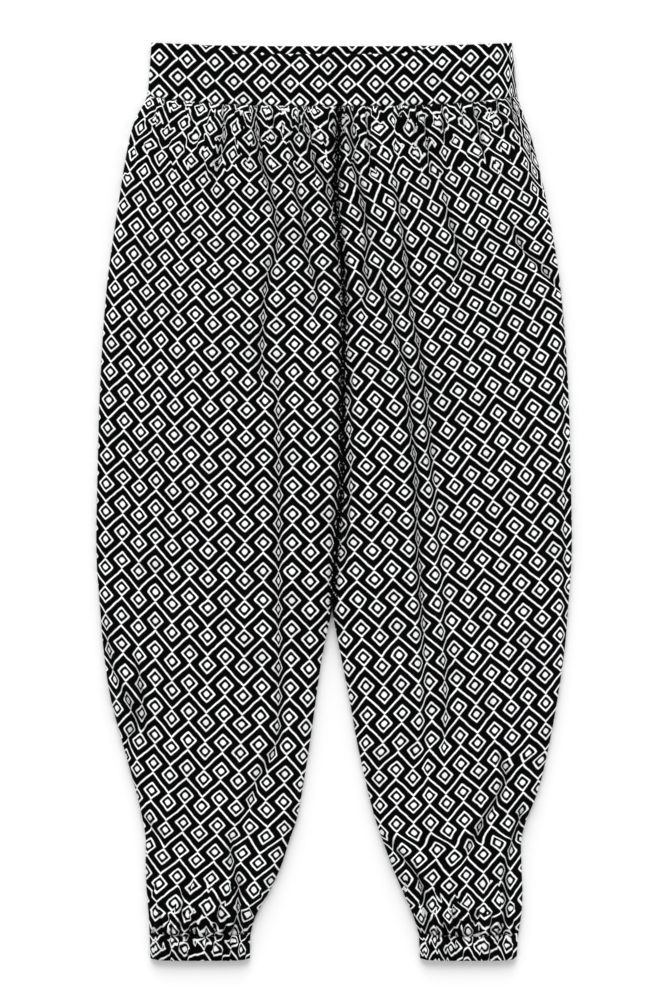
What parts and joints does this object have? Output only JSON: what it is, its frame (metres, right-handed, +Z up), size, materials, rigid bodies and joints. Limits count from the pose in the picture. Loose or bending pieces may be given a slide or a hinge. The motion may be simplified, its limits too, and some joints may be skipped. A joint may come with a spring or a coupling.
{
  "type": "harem pants laid flat",
  "caption": "Loose harem pants in printed jersey, laid flat: wide waistband, gathered waist, low crotch, tapered legs and elastic cuffs.",
  "frame": {"origin": "on the surface that the pants lie on, under the middle of their outline", "axes": "+X to the wearer's left, +Y from the hems to the waist, +Z up out of the surface, on the side of the garment's front"},
  "size_m": [0.4922, 0.9499, 0.0106],
  "materials": {
    "legs": "matte black jersey with a white line print of nested diamonds and zigzags",
    "waistband": "the same jersey, doubled, with the print turned a quarter",
    "cuffs": "the same jersey, gathered on elastic"
  },
  "bodies": {
    "root": {"waistband_front": "waistband", "waistband_back": "waistband", "front_leg_right": "legs", "front_leg_left": "legs", "back_leg_right": "legs", "back_leg_left": "legs", "cuff_front_right": "cuffs", "cuff_front_left": "cuffs", "cuff_back_right": "cuffs", "cuff_back_left": "cuffs"}
  },
  "joints": []
}
